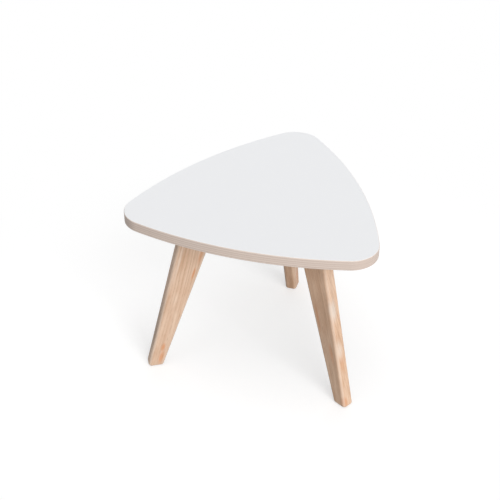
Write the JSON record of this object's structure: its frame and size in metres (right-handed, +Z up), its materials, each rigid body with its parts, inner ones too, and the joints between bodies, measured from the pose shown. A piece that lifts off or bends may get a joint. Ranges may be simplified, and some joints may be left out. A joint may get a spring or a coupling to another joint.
{
  "type": "triangular coffee table",
  "caption": "Low side table with a rounded triangular white laminated plywood top on splayed flat tapered oak legs, bolted to the board through steel plates.",
  "frame": {"origin": "on the floor, in the middle of the table's box seen from above", "axes": "+Z up; +Y towards the back corner of the triangle; +X to the right as seen from the straight front side, which faces -Y"},
  "size_m": [0.6018, 0.5703, 0.467],
  "materials": {
    "white_laminate": "satin",
    "birch_plywood": "clear satin lacquer, layered edge",
    "oak": "clear matt lacquer",
    "coated_steel": "black powder coat, fine texture",
    "zinc_plated_steel": "bright zinc plating",
    "brass": "turned",
    "nylon": "natural, moulded"
  },
  "bodies": {
    "root": {"top_laminate": "white_laminate", "plywood_core": "birch_plywood", "underside_laminate": "white_laminate", "left_leg": "oak", "right_leg": "oak", "back_leg": "oak", "left_leg_plate": "coated_steel", "right_leg_plate": "coated_steel", "back_leg_plate": "coated_steel", "left_leg_wood_screws": "zinc_plated_steel", "right_leg_wood_screws": "zinc_plated_steel", "back_leg_wood_screws": "zinc_plated_steel", "left_plate_screws": "zinc_plated_steel", "right_plate_screws": "zinc_plated_steel", "back_plate_screws": "zinc_plated_steel", "left_plate_inserts": "brass", "right_plate_inserts": "brass", "back_plate_inserts": "brass", "left_foot_glide": "nylon", "right_foot_glide": "nylon", "back_foot_glide": "nylon"}
  },
  "joints": []
}
